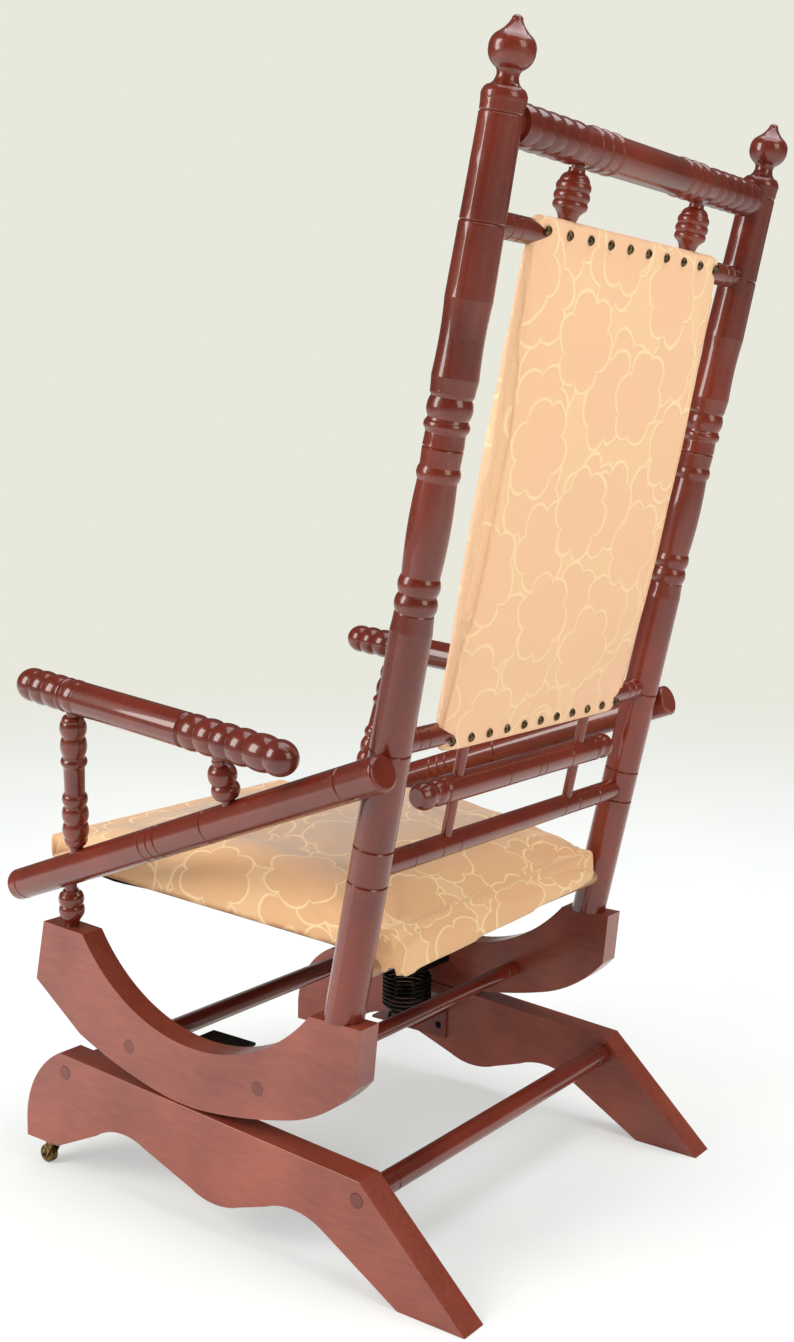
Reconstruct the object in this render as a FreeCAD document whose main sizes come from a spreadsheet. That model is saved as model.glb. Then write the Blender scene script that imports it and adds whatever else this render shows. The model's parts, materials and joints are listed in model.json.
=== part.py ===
import FreeCAD, Part
import math
import os
import Sketcher

# Platform rocker. Millimetres, +Z up, the sitter faces -Y and the sitter's left is +X.
# The origin is the middle of the outer box at floor level.

Vector = FreeCAD.Vector
SIDES = (("left", 1), ("right", -1))

# Driving sizes. Every one is a cell of the sheet.
SIZE = {
    # Base boards
    "base_length": 563.0,
    "base_height": 133.5,
    "base_thickness": 30.0,
    "board_centre": 223.0,
    "base_front": -289.0,
    # Rocker boards
    "rocker_length": 427.0,
    "rocker_height": 147.5,
    "rocker_thickness": 27.0,
    "contact_place": -65.0,
    "contact_gap": 0.8,
    "contact_radius": 240.0,
    "brace_height": 199.0,
    # Round stretchers
    "stretcher_radius": 11.0,
    "rocker_stretcher_radius": 8.5,
    "stretcher_tenon": 7.0,
    # Back posts
    "post_length": 876.0,
    "post_radius": 18.6,
    "post_foot_place": 221.0,
    "post_tenon": 9.0,
    # Cross rails of the back
    "rail_span": 458.0,
    "top_rail_radius": 17.4,
    "top_rail_tenon": 12.0,
    "pad_rail_radius": 10.7,
    "cross_rail_radius": 10.9,
    "bobbin_radius": 13.2,
    "bobbin_length": 344.0,
    "stick_radius": 5.2,
    "top_spindle_radius": 13.0,
    "spindle_length": 57.5,
    "spindle_tenon": 5.0,
    # Arms
    "side_rail_length": 539.0,
    "armrest_length": 362.8,
    "arm_post_length": 160.0,
    "horn_post_length": 60.0,
    "arm_spindle_length": 60.0,
    "side_rail_radius": 16.5,
    "armrest_radius": 16.7,
    "arm_post_radius": 13.0,
    "arm_tenon": 6.5,
    "peg_radius": 5.0,
    # Seat
    "seat_pitch": 2.5,
    "seat_half_width": 198.0,
    "seat_depth": 474.0,
    "seat_height": 66.0,
    "frame_height": 24.0,
    "frame_thickness": 18.0,
    "brace_radius": 6.5,
    "bearer_radius": 9.5,
    "strap_width": 46.0,
    "strap_thickness": 1.5,
    # Back pad
    "pad_half_top": 176.0,
    "pad_half_foot": 168.0,
    "pad_depth": 36.0,
    "nail_radius": 4.6,
    # Springs
    "wire_radius": 2.1,
    "coil_radius": 29.0,
    "coil_pitch": 5.0,
    "coil_turns": 8,
    "bracket_thickness": 3.0,
    # Casters
    "foot_height": 30.0,
    "wheel_radius": 9.5,
    "wheel_width": 9.0,
    "caster_trail": 9.0,
    "axle_radius": 1.5,
    "cheek_length": 18.2,
    "cheek_height": 20.0,
    "cheek_thickness": 2.0,
    # Clearances
    "glue_gap": 0.05,
    "turning_gap": 0.07,
}

doc = FreeCAD.newDocument("platform_rocker")
sheet = doc.addObject("Spreadsheet::Sheet", "sizes")
for row, (name, value) in enumerate(SIZE.items(), start=1):
    sheet.set(f"A{row}", name)
    sheet.set(f"B{row}", str(value))
    sheet.setAlias(f"B{row}", name)
doc.recompute()

nodes = []


def finish(piece, label):
    """Name a finished piece and keep it for writing."""
    piece.Label = label
    nodes.append(piece)
    return piece


def share(alias, value):
    """Expression that gives value as a share of the named size."""
    return f"sizes.{alias} * {value / SIZE[alias]:.8f}"


def plane_of(body, role):
    """Origin plane of a body."""
    return [part for part in body.Origin.OriginFeatures if part.Role == role][0]


def new_sketch(body, role, name):
    """Empty sketch on an origin plane of the body."""
    sketch = body.newObject("Sketcher::SketchObject", name)
    sketch.AttachmentSupport = [(plane_of(body, role), "")]
    sketch.MapMode = "FlatFace"
    return sketch


def place_point(sketch, edge, end, across, up, across_size, up_size):
    """Hold one corner of an outline at shares of two sizes."""
    if abs(across) < 1e-9:
        sketch.addConstraint(Sketcher.Constraint("PointOnObject", edge, end, -2))
    else:
        number = sketch.addConstraint(Sketcher.Constraint("DistanceX", -1, 1, edge, end, across))
        sketch.setExpression(f"Constraints[{number}]", share(across_size, across))
    if abs(up) < 1e-9:
        sketch.addConstraint(Sketcher.Constraint("PointOnObject", edge, end, -1))
    else:
        number = sketch.addConstraint(Sketcher.Constraint("DistanceY", -1, 1, edge, end, up))
        sketch.setExpression(f"Constraints[{number}]", share(up_size, up))


def draw_outline(sketch, corners, across_size, up_size):
    """Closed outline. Each corner is (across, up, middle of the arc that arrives there or None)."""
    count = len(corners)
    ends = []
    for index in range(count):
        start = corners[index]
        stop = corners[(index + 1) % count]
        first = Vector(start[0], start[1], 0)
        last = Vector(stop[0], stop[1], 0)
        if stop[2] is None:
            edge = sketch.addGeometry(Part.LineSegment(first, last))
        else:
            middle = Vector(stop[2][0], stop[2][1], 0)
            edge = sketch.addGeometry(Part.Arc(first, middle, last))
        forward = sketch.getPoint(edge, 1).distanceToPoint(first) < 1e-6
        ends.append((edge, 1, 2) if forward else (edge, 2, 1))
        if stop[2] is not None:
            sketch.addConstraint(Sketcher.Constraint("Radius", edge, sketch.Geometry[edge].Radius))
    for index in range(count):
        edge, head, tail = ends[index]
        following, next_head, next_tail = ends[(index + 1) % count]
        sketch.addConstraint(Sketcher.Constraint("Coincident", edge, tail, following, next_head))
    for index in range(count):
        edge, head, tail = ends[index]
        place_point(sketch, edge, head, corners[index][0], corners[index][1], across_size, up_size)


def bulged(first, last, rise):
    """Middle of an arc between two profile points that stands rise outside their chord."""
    across = last[0] - first[0]
    up = last[1] - first[1]
    span = math.hypot(across, up)
    return ((first[0] + last[0]) / 2 + rise * up / span, (first[1] + last[1]) / 2 - rise * across / span)


def bead(centre, width, valley, peak):
    """Stations of one turned bead."""
    return [(centre - width / 2, valley, 0), (centre + width / 2, valley, peak - valley)]


def groove(centre, radius):
    """Stations of one fine turned groove."""
    return [(centre - 1.2, radius, 0), (centre, radius - 1.0, 0), (centre + 1.2, radius, 0)]


def turned(label, stations, length_size, radius_size, foot, direction):
    """Turned piece about its own Z, from stations (height, radius, rise of the arc that arrives)."""
    body = doc.addObject("PartDesign::Body", label + "_body")
    sketch = new_sketch(body, "XZ_Plane", label + "_profile")
    corners = [(0, stations[0][0], None)]
    for height, radius, rise in stations:
        previous = corners[-1]
        if math.hypot(previous[0] - radius, previous[1] - height) < 1e-6:
            continue
        middle = bulged(previous, (radius, height), rise) if rise else None
        corners.append((radius, height, middle))
    if corners[-1][0] > 1e-6:
        corners.append((0, stations[-1][0], None))
    draw_outline(sketch, corners, radius_size, length_size)
    turning = body.newObject("PartDesign::Revolution", label + "_turning")
    turning.Profile = sketch
    turning.ReferenceAxis = (sketch, ["V_Axis"])
    turning.Angle = 360
    sketch.Visibility = False
    body.Placement = FreeCAD.Placement(foot, FreeCAD.Rotation(Vector(0, 0, 1), direction))
    doc.recompute()
    return body


def symmetric_pad(body, sketch, thickness_size, name):
    """Pad of a sketch to both sides."""
    pad = body.newObject("PartDesign::Pad", name)
    pad.Profile = sketch
    pad.SideType = "Symmetric"
    pad.setExpression("Length", f"sizes.{thickness_size}")
    sketch.Visibility = False
    return pad


def board(label, corners, length_size, height_size, thickness_size, corner_place):
    """Upright board whose outline lies in the YZ plane."""
    body = doc.addObject("PartDesign::Body", label + "_body")
    sketch = new_sketch(body, "YZ_Plane", label + "_outline")
    draw_outline(sketch, corners, length_size, height_size)
    symmetric_pad(body, sketch, thickness_size, label + "_pad")
    body.Placement.Base = corner_place
    doc.recompute()
    return body


def rod(name, middle_or_foot, direction, radius_size, length, gap_size=None, centred=False):
    """Plain round rod or drill."""
    piece = doc.addObject("Part::Cylinder", name)
    if gap_size:
        piece.setExpression("Radius", f"sizes.{radius_size} + sizes.{gap_size}")
    else:
        piece.setExpression("Radius", f"sizes.{radius_size}")
    piece.Height = length
    unit = Vector(direction)
    unit.normalize()
    foot = middle_or_foot - unit * (length / 2) if centred else middle_or_foot
    piece.Placement = FreeCAD.Placement(foot, FreeCAD.Rotation(Vector(0, 0, 1), unit))
    return piece


def block(name, corner, across, deep, high, turn=None):
    """Rectangular block from its lower corner."""
    piece = doc.addObject("Part::Box", name)
    piece.Length = across
    piece.Width = deep
    piece.Height = high
    piece.Placement = FreeCAD.Placement(corner, turn or FreeCAD.Rotation())
    return piece


def cut(label, base, tools):
    """Base less all tools."""
    if len(tools) > 1:
        tool = doc.addObject("Part::MultiFuse", label + "_tools")
        tool.Shapes = tools
    else:
        tool = tools[0]
    piece = doc.addObject("Part::Cut", label)
    piece.Base = base
    piece.Tool = tool
    return piece


def fuse(label, pieces):
    """Several solids made one."""
    piece = doc.addObject("Part::MultiFuse", label)
    piece.Shapes = pieces
    return piece


def group(label, pieces):
    """Several separate solids kept as one piece."""
    piece = doc.addObject("Part::Compound", label)
    piece.Links = pieces
    return piece


# Places that several pieces share

top_front = SIZE["base_front"] + 54.0
top_fall = 25.0
slope = math.atan(top_fall / (SIZE["base_length"] - 170.0))


def base_top(place):
    """Height of the base boards' sloping top edge at a place along Y."""
    return SIZE["base_height"] - (place - top_front) * math.tan(slope)


up_slope = Vector(0, math.sin(slope), math.cos(slope))
contact = Vector(0, SIZE["contact_place"], base_top(SIZE["contact_place"]))
brace_centre = contact + up_slope * SIZE["brace_height"]
base_stretchers = ((-227.0, 114.0), (SIZE["base_front"] + SIZE["base_length"] - 119.0, 90.0))
rocker_stretchers = ((-134.0, 164.0), (36.0, 164.0))
caster_place = -262.0
coil_place = -84.0
coil_side = 165.0
coil_bend = 5.0
coil_rise = math.atan(SIZE["coil_pitch"] / (2 * math.pi * (SIZE["coil_radius"] - SIZE["wire_radius"])))
coil_lead = 2 * SIZE["wire_radius"] + coil_bend * (1 + math.sin(coil_rise))
lower_seat = 95.0
upper_seat = lower_seat + 2 * (coil_lead + SIZE["glue_gap"]) + SIZE["coil_pitch"] * SIZE["coil_turns"]

post_foot = Vector(SIZE["post_foot_place"] - 0.2, 125.5, 246.7)
post_axis = Vector(17.4, 174.0, 833.3).normalize()
rail_rear = Vector(259.3, 197.0, 488.7)
rail_axis = Vector(34.3, 503.0, 190.7).normalize()
rail_front = rail_rear - rail_axis * SIZE["side_rail_length"]
arm_rear = Vector(272.0, 111.0, 488.4)
arm_axis = Vector(9.0, 361.0, -34.9).normalize()
arm_front = arm_rear - arm_axis * SIZE["armrest_length"]
seat_corner = Vector(0, -210.0, 316.0)
seat_turn = FreeCAD.Rotation(Vector(1, 0, 0), -SIZE["seat_pitch"])


def sided(point, side):
    """Point for the left or the right side."""
    return Vector(point.x * side, point.y, point.z)


def post_point(height, side=1):
    """Point of a post's axis at a distance from its foot."""
    return sided(post_foot + post_axis * height, side)


def on_line(start, axis, place):
    """Point of a line at a place along Y."""
    return start + axis * ((place - start.y) / axis.y)


top_rail_at = SIZE["post_length"] - 100.4
upper_rail_at = SIZE["post_length"] - 176.0
lower_rail_at = 263.9
cross_rail_at = 148.0
bobbin_at = 206.0
bearer_at = 45.5
rear_flat = 248.2
front_bearer_place = -228.0
stick_place = 110.0
spindle_place = 112.0
arm_post_foot = on_line(rail_front, rail_axis, -211.0)
arm_post_head = on_line(arm_front, arm_axis, -176.0)
horn_foot = Vector(223.0, -228.0, 266.0)
horn_head = on_line(rail_front, rail_axis, -222.0)
spindle_foot = on_line(rail_front, rail_axis, 15.0)
spindle_head = on_line(arm_front, arm_axis, 15.0)
peg_point = post_point(226.0)


def seat_point(across, deep, high):
    """Point given in the seat's own tilted frame."""
    return seat_corner + seat_turn.multVec(Vector(across, deep, high))


def tangent_middle(start, start_slope, end):
    """Middle of the arc that leaves start at a slope and reaches end."""
    chord = math.atan2(end[1] - start[1], end[0] - start[0])
    turn = chord - start_slope
    span = math.hypot(end[0] - start[0], end[1] - start[1])
    rise = span / 2 * math.tan(turn / 2)
    middle = ((start[0] + end[0]) / 2, (start[1] + end[1]) / 2)
    return (middle[0] + rise * math.sin(chord), middle[1] - rise * math.cos(chord))


# Base: two boards, two stretchers

def base_boards():
    """Boards with a straight sloping top, a front foot, a hump, a raked rear leg."""
    length = SIZE["base_length"]
    height = SIZE["base_height"]
    foot = SIZE["foot_height"]
    points = [
        (1.0, foot, None),
        (48.0, foot, None),
        (106.0, 57.0, None),
        (176.0, 63.0, (141.0, 69.5)),
        (239.0, 41.0, None),
        (303.0, 40.0, (271.0, 33.5)),
        (336.0, 51.0, None),
        (length - 157.0, 48.0, (length - 194.0, 58.5)),
        (length - 73.0, 0, None),
        (length, 0, None),
        (length - 116.0, height - top_fall, None),
        (54.0, height, None),
        (1.0, 45.0, (14.0, 96.0)),
    ]
    for name, side in SIDES:
        label = f"base_rail_{name}"
        place = Vector(SIZE["board_centre"] * side, SIZE["base_front"], 0)
        body = board(label, points, "base_length", "base_height", "base_thickness", place)
        tools = []
        for number, (deep, high) in enumerate(base_stretchers):
            middle = Vector(SIZE["board_centre"] * side, deep, high)
            name_of_hole = f"{label}_drill_{number}"
            tools.append(rod(name_of_hole, middle, Vector(1, 0, 0), "stretcher_tenon", 40, "glue_gap", True))
        foot = Vector(SIZE["board_centre"] * side, caster_place, SIZE["foot_height"] - 1)
        cup = doc.addObject("Part::Cylinder", f"{label}_cup")
        cup.Radius = 5.05
        cup.Height = 14.5
        cup.Placement.Base = foot
        tools.append(cup)
        finish(cut(label, body, tools), label)


def stretcher(label, deep, high, radius_size, inner, outer):
    """Round stretcher with a tenon through each board."""
    radius = SIZE[radius_size]
    tenon = SIZE["stretcher_tenon"]
    stations = [
        (0, tenon, 0),
        (outer - inner, tenon, 0),
        (outer - inner, radius - 1, 0),
        (outer - inner + 1, radius, 0),
        *groove(outer - inner + 22, radius),
        *groove(outer + inner - 22, radius),
        (outer + inner - 1, radius, 0),
        (outer + inner, radius - 1, 0),
        (outer + inner, tenon, 0),
        (2 * outer, tenon, 0),
    ]
    foot = Vector(-outer, deep, high)
    finish(turned(label, stations, "board_centre", radius_size, foot, Vector(1, 0, 0)), label)


def stretchers():
    """Two stretchers of the base and two of the rockers."""
    inner = SIZE["board_centre"] - SIZE["base_thickness"] / 2
    outer = SIZE["board_centre"] + SIZE["base_thickness"] / 2
    stretcher("base_stretcher_front", *base_stretchers[0], "stretcher_radius", inner, outer)
    stretcher("base_stretcher_rear", *base_stretchers[1], "stretcher_radius", inner, outer)
    inner = SIZE["board_centre"] - SIZE["rocker_thickness"] / 2
    outer = SIZE["board_centre"] + SIZE["rocker_thickness"] / 2
    stretcher("rocker_stretcher_front", *rocker_stretchers[0], "rocker_stretcher_radius", inner, outer)
    stretcher("rocker_stretcher_rear", *rocker_stretchers[1], "rocker_stretcher_radius", inner, outer)


# Rockers

def rocker_boards():
    """Crescent boards. The foot of the crescent is an arc that rolls on the base board."""
    centre = contact + up_slope * (SIZE["contact_radius"] + SIZE["contact_gap"])
    front_angle = -slope - math.radians(7.3)
    rear_angle = -slope + math.radians(9.3)
    radius = SIZE["contact_radius"]
    rolling = []
    for angle in (front_angle, -slope, rear_angle):
        rolling.append((centre.y + radius * math.sin(angle), centre.z - radius * math.cos(angle)))
    front_end = (-205.0, 160.5)
    mid_end = (76.0, 143.5)
    rear_end = (152.0, 193.0)
    backwards = tangent_middle(rolling[0], front_angle + math.pi, front_end)
    first = tangent_middle(rolling[2], rear_angle, mid_end)
    first_turn = 2 * (math.atan2(mid_end[1] - rolling[2][1], mid_end[0] - rolling[2][0]) - rear_angle)
    second = tangent_middle(mid_end, rear_angle + first_turn, rear_end)
    outline = [
        (*front_end, None),
        (*rolling[0], backwards),
        (*rolling[2], rolling[1]),
        (*mid_end, first),
        (*rear_end, second),
        (157.0, 248.2, None),
        (98.0, 248.2, None),
        (-199.0, 267.0, (-47.0, 183.0)),
        (-257.0, 270.0, None),
        (-270.0, 206.0, None),
    ]
    start = Vector(0, -270.0, 122.5)
    corners = []
    for across, up, middle in outline:
        moved = None if middle is None else (middle[0] - start.y, middle[1] - start.z)
        corners.append((across - start.y, up - start.z, moved))
    for name, side in SIDES:
        label = f"rocker_{name}"
        place = Vector(SIZE["board_centre"] * side, start.y, start.z)
        body = board(label, corners, "rocker_length", "rocker_height", "rocker_thickness", place)
        tools = []
        for number, (deep, high) in enumerate(rocker_stretchers):
            middle = Vector(SIZE["board_centre"] * side, deep, high)
            name_of_hole = f"{label}_drill_{number}"
            tools.append(rod(name_of_hole, middle, Vector(1, 0, 0), "stretcher_tenon", 40, "glue_gap", True))
        axis = sided(post_axis, side)
        tools.append(rod(f"{label}_post_hole", post_point(-25.5, side), axis, "post_tenon", 40, "glue_gap"))
        horn_axis = sided(horn_head - horn_foot, side)
        low = sided(horn_foot, side) - Vector(horn_axis).normalize() * 14.5
        tools.append(rod(f"{label}_horn_hole", low, horn_axis, "arm_tenon", 30, "glue_gap"))
        finish(cut(label, body, tools), label)


# Posts and the rails between them

def post_stations():
    """Outline of a back post from its tenon to the tip of its onion finial."""
    start = 25.0
    plain = 18.6
    stations = [(0, SIZE["post_tenon"], 0), (start - 7, SIZE["post_tenon"], 0), (start - 7, plain, 0)]
    for place in (136.5, 170.0, 258.6):
        stations += groove(start + place, plain - 0.1)
    stations += [(start + 366, 18.4, 0), (start + 381, 17.2, 0)]
    stations += bead(start + 389.5, 15, 16.6, 18.6)
    stations += bead(start + 406, 15, 16.4, 18.3)
    stations += [(start + 493, 16.8, 1.6)]
    stations += bead(start + 500, 12, 16.8, 18.6)
    stations += groove(start + 521, 17.3)
    stations += [(start + 533, 16.8, 0)]
    stations += bead(start + 539, 8, 17.6, 19.3)
    stations += bead(start + 553.5, 17, 17.0, 19.2)
    stations += [(start + 567, 18.6, 0.6), (start + 578, 19.6, 0), (start + 611, 18.4, -0.3)]
    stations += [(start + 640, 19.6, -0.3), (start + 696, 18.7, 0)]
    stations += groove(start + 698.6, 18.6)
    stations += [(start + 745, 17.9, 0)]
    stations += groove(start + 780, 17.6)
    stations += [(start + 789, 18.0, 0), (start + 799, 15.0, 1.6), (start + 804, 9.6, -1.0)]
    stations += [(start + 810, 9.2, -0.6), (start + 812, 10.4, 0), (start + 826, 18.5, 2.4)]
    stations += [(start + 837, 13.6, 1.6), (start + 847, 4.6, -0.9), (start + 851, 1.2, 1.0)]
    stretch = SIZE["post_length"] / stations[-1][0]
    return [(height * stretch, radius, rise) for height, radius, rise in stations]


def back_posts():
    """Leaning posts that stand on the rockers and take every cross rail."""
    rails = (
        (top_rail_at, "top_rail_tenon"),
        (upper_rail_at, "pad_rail_radius"),
        (lower_rail_at, "pad_rail_radius"),
        (cross_rail_at, "cross_rail_radius"),
        (bearer_at, "bearer_radius"),
    )
    for name, side in SIDES:
        label = f"back_post_{name}"
        axis = sided(post_axis, side)
        body = turned(label, post_stations(), "post_length", "post_radius", post_point(-25, side), axis)
        inwards = Vector(-side, 0, 0)
        tools = []
        for number, (height, radius_size) in enumerate(rails):
            bottom = post_point(height, side) + inwards * 8
            tools.append(rod(f"{label}_socket_{number}", bottom, inwards, radius_size, 40, "glue_gap"))
        peg = sided(peg_point, side) + inwards * 9
        tools.append(rod(f"{label}_peg_hole", peg, -inwards, "peg_radius", 40, "glue_gap"))
        corner = post_point(0, side) + Vector(-40, -40, rear_flat - 60 - post_point(0).z)
        level = block(f"{label}_level_block", corner, 80, 80, 60)
        core = rod(f"{label}_level_core", post_point(-60, side), axis, "post_tenon", 120)
        tools.append(cut(f"{label}_level", level, [core]))
        finish(cut(label, body, tools), label)


def cross_rail(label, height, radius_size, marks, end_radius, drills):
    """Round rail from post to post with beads and grooves at places along X."""
    centre = post_point(height)
    half = centre.x - 8.0
    radius = SIZE[radius_size]
    stations = [(0, end_radius, 0)]
    if end_radius < radius:
        stations += [(11.0, end_radius, 0), (12.0, radius - 1.5, 0)]
    for kind, place, *sizes in sorted(marks, key=lambda mark: mark[1]):
        if kind == "bead":
            stations += bead(half + place, *sizes)
        else:
            stations += groove(half + place, radius)
    if end_radius < radius:
        stations += [(2 * half - 12.0, radius - 1.5, 0), (2 * half - 11.0, end_radius, 0)]
    stations += [(2 * half, end_radius, 0)]
    foot = Vector(-half, centre.y, centre.z)
    body = turned(label, stations, "rail_span", radius_size, foot, Vector(1, 0, 0))
    tools = []
    for number, (across, way, radius_name, depth) in enumerate(drills):
        start = Vector(across, centre.y, centre.z) + way * (radius - depth)
        tools.append(rod(f"{label}_drill_{number}", start, way, radius_name, 30, "glue_gap"))
    finish(cut(label, body, tools) if tools else body, label)


def both(kind, *mark):
    """The same mark at both ends of a rail."""
    place, *sizes = mark
    return [(kind, -place, *sizes), (kind, place, *sizes)]


back_up = Vector(0, post_axis.y, post_axis.z).normalize()
back_rear = Vector(0, post_axis.z, -post_axis.y).normalize()


def back_rails():
    """Top rail, the rails that carry the pad, the bobbin rail and the lowest rail."""
    marks = []
    for place in (206.2, 187.2, 168.2, 149.2, 130.2):
        marks += both("bead", place, 19, 15.9, 17.6)
    for place in (101, 84, 66):
        marks += both("bead", place, 9, 16.9, 18.2)
    drills = [(spindle_place * side, back_up * -1, "spindle_tenon", 5) for name, side in SIDES]
    cross_rail("top_rail", top_rail_at, "top_rail_radius", marks, SIZE["top_rail_tenon"], drills)
    marks = both("groove", 204) + both("groove", 190)
    drills = [(spindle_place * side, back_up, "spindle_tenon", 5) for name, side in SIDES]
    cross_rail("pad_rail_upper", upper_rail_at, "pad_rail_radius", marks, SIZE["pad_rail_radius"], drills)
    marks = both("groove", 196) + both("groove", 182)
    drills = [(stick_place * side, back_up * -1, "stick_radius", 4) for name, side in SIDES]
    cross_rail("pad_rail_lower", lower_rail_at, "pad_rail_radius", marks, SIZE["pad_rail_radius"], drills)
    marks = both("groove", 168) + both("groove", 125) + both("groove", 96)
    drills = [(stick_place * side, back_up, "stick_radius", 4) for name, side in SIDES]
    cross_rail("cross_rail_lower", cross_rail_at, "cross_rail_radius", marks, SIZE["cross_rail_radius"], drills)


def bobbin_rail():
    """Free bobbin rail carried by two sticks that pass through it."""
    half = SIZE["bobbin_length"] / 2
    radius = SIZE["bobbin_radius"]
    low = [(0, 8.0, 0), (1.5, 9.6, 0), (3, 10.6, 0), (19, 11.2, 2.4), (22, 11.2, 0), (37, 11.8, 1.7), (39, radius, 0)]
    stations = list(low)
    for place in (-84, -32, -20, 34):
        stations += groove(half + place, radius)
    stations += [(2 * half - 39, radius, 0), (2 * half - 37, 11.8, 0), (2 * half - 22, 11.2, 1.7)]
    stations += [(2 * half - 19, 11.2, 0), (2 * half - 3, 10.6, 2.4), (2 * half - 1.5, 9.6, 0), (2 * half, 8.0, 0)]
    centre = post_point(bobbin_at)
    foot = Vector(-half, centre.y, centre.z)
    body = turned("bobbin_rail", stations, "bobbin_length", "bobbin_radius", foot, Vector(1, 0, 0))
    tools = []
    for name, side in SIDES:
        middle = Vector(stick_place * side, centre.y, centre.z)
        tools.append(rod(f"bobbin_rail_hole_{name}", middle, back_up, "stick_radius", 40, "glue_gap", True))
    finish(cut("bobbin_rail", body, tools), "bobbin_rail")


def bobbin_sticks():
    """Thin sticks between the lower pad rail and the lowest rail."""
    low = SIZE["cross_rail_radius"] - 4
    high = SIZE["pad_rail_radius"] - 4
    foot = post_point(cross_rail_at)
    head = post_point(lower_rail_at)
    gap = math.hypot(head.y - foot.y, head.z - foot.z)
    for name, side in SIDES:
        start = Vector(stick_place * side, foot.y, foot.z) + back_up * low
        finish(rod(f"bobbin_stick_{name}", start, back_up, "stick_radius", gap - low - high), f"bobbin_stick_{name}")


def top_spindles():
    """Short turned spindles with three rings between top rail and upper pad rail."""
    foot = post_point(upper_rail_at)
    tenon = SIZE["spindle_tenon"]
    low = SIZE["pad_rail_radius"] - 5
    head = post_point(top_rail_at)
    length = math.hypot(head.y - foot.y, head.z - foot.z) - low - (SIZE["top_rail_radius"] - 5)
    stations = [
        (0, tenon, 0),
        (5.6, tenon, 0),
        (5.6, 8.0, 0),
        (11, 8.4, -0.5),
        (18, 13.2, -0.9),
        (25, 13.8, 1.5),
        (33, 13.8, 1.7),
        (41, 13.0, 1.6),
        (48, 7.6, 1.2),
        (length - 5.6, 7.2, -0.3),
        (length - 5.6, tenon, 0),
        (length, tenon, 0),
    ]
    for name, side in SIDES:
        start = Vector(spindle_place * side, foot.y, foot.z) + back_up * low
        label = f"top_spindle_{name}"
        finish(turned(label, stations, "spindle_length", "top_spindle_radius", start, back_up), label)


# Arms

def side_rails():
    """Round rails that rise from the rocker horns past the outside of the posts."""
    radius = SIZE["side_rail_radius"]
    length = SIZE["side_rail_length"]
    stations = [(0, 14.6, 0), (2, radius, 0.5)]
    for place in (14.0, 223.0, 235.0, 246.0, 315.0, 494.0):
        stations += groove(place, radius)
    stations += [(length - 16, radius, 0), (length - 3, radius, 0), (length - 0.6, 14.6, 0.5), (length, 13.6, 0)]
    for name, side in SIDES:
        label = f"side_rail_{name}"
        axis = sided(rail_axis, side)
        body = turned(label, stations, "side_rail_length", "side_rail_radius", sided(rail_front, side), axis)
        joints = (
            (arm_post_foot, arm_post_head - arm_post_foot, "arm_tenon"),
            (horn_head, horn_foot - horn_head, "arm_tenon"),
            (spindle_foot, spindle_head - spindle_foot, "arm_tenon"),
        )
        tools = []
        for number, (point, way, radius_size) in enumerate(joints):
            way = sided(way, side).normalize()
            tools.append(rod(f"{label}_socket_{number}", sided(point, side) + way * 8, way, radius_size, 40, "glue_gap"))
        outer = on_line(rail_front, rail_axis, peg_point.y).x + 8
        peg = Vector(outer * side, peg_point.y, peg_point.z)
        tools.append(rod(f"{label}_peg_hole", peg, Vector(-side, 0, 0), "peg_radius", 40, "glue_gap"))
        bearer = on_line(rail_front, rail_axis, front_bearer_place)
        bearer.x -= 9
        inwards = Vector(-side, 0, 0)
        tools.append(rod(f"{label}_bearer_hole", sided(bearer, side), inwards, "bearer_radius", 40, "glue_gap"))
        saddle = sided(peg_point, side) - sided(post_axis, side) * 60
        tools.append(rod(f"{label}_saddle", saddle, sided(post_axis, side), "post_radius", 120, "glue_gap"))
        finish(cut(label, body, tools), label)


def side_rail_pegs():
    """Hidden dowels that join posts and side rails."""
    pegs = []
    outer = on_line(rail_front, rail_axis, peg_point.y).x + 8
    for name, side in SIDES:
        start = Vector((peg_point.x - 9) * side, peg_point.y, peg_point.z)
        pegs.append(rod(f"peg_{name}", start, Vector(side, 0, 0), "peg_radius", outer - peg_point.x + 9))
    finish(group("side_rail_pegs", pegs), "side_rail_pegs")


def armrests():
    """Turned armrests with a ball at each end."""
    length = SIZE["armrest_length"]
    valley = 14.9
    stations = [(0, 3.0, 0), (25.5, valley, 6.6)]
    for first, last in ((25.5, 44), (44, 64)):
        stations += bead((first + last) / 2, last - first, valley, 17.2)
    stations += bead(68, 6, 15.6, 17.0)
    stations += bead(80.5, 15, 15.6, 17.2)
    stations += [(90, 16.6, 0), (230, 16.7, 0)]
    for first, last in ((232, 252), (252, 272), (272, 292), (292, 313), (313, length - 25.5)):
        stations += bead((first + last) / 2, last - first, valley, 17.3)
    stations += [(length, 3.0, 6.6)]
    for name, side in SIDES:
        label = f"armrest_{name}"
        body = turned(label, stations, "armrest_length", "armrest_radius", sided(arm_front, side), sided(arm_axis, side))
        tools = []
        for number, (head, foot) in enumerate(((arm_post_head, arm_post_foot), (spindle_head, spindle_foot))):
            way = sided(foot - head, side).normalize()
            tools.append(rod(f"{label}_socket_{number}", sided(head, side) + way * 8, way, "arm_tenon", 40, "glue_gap"))
        finish(cut(label, body, tools), label)


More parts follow.
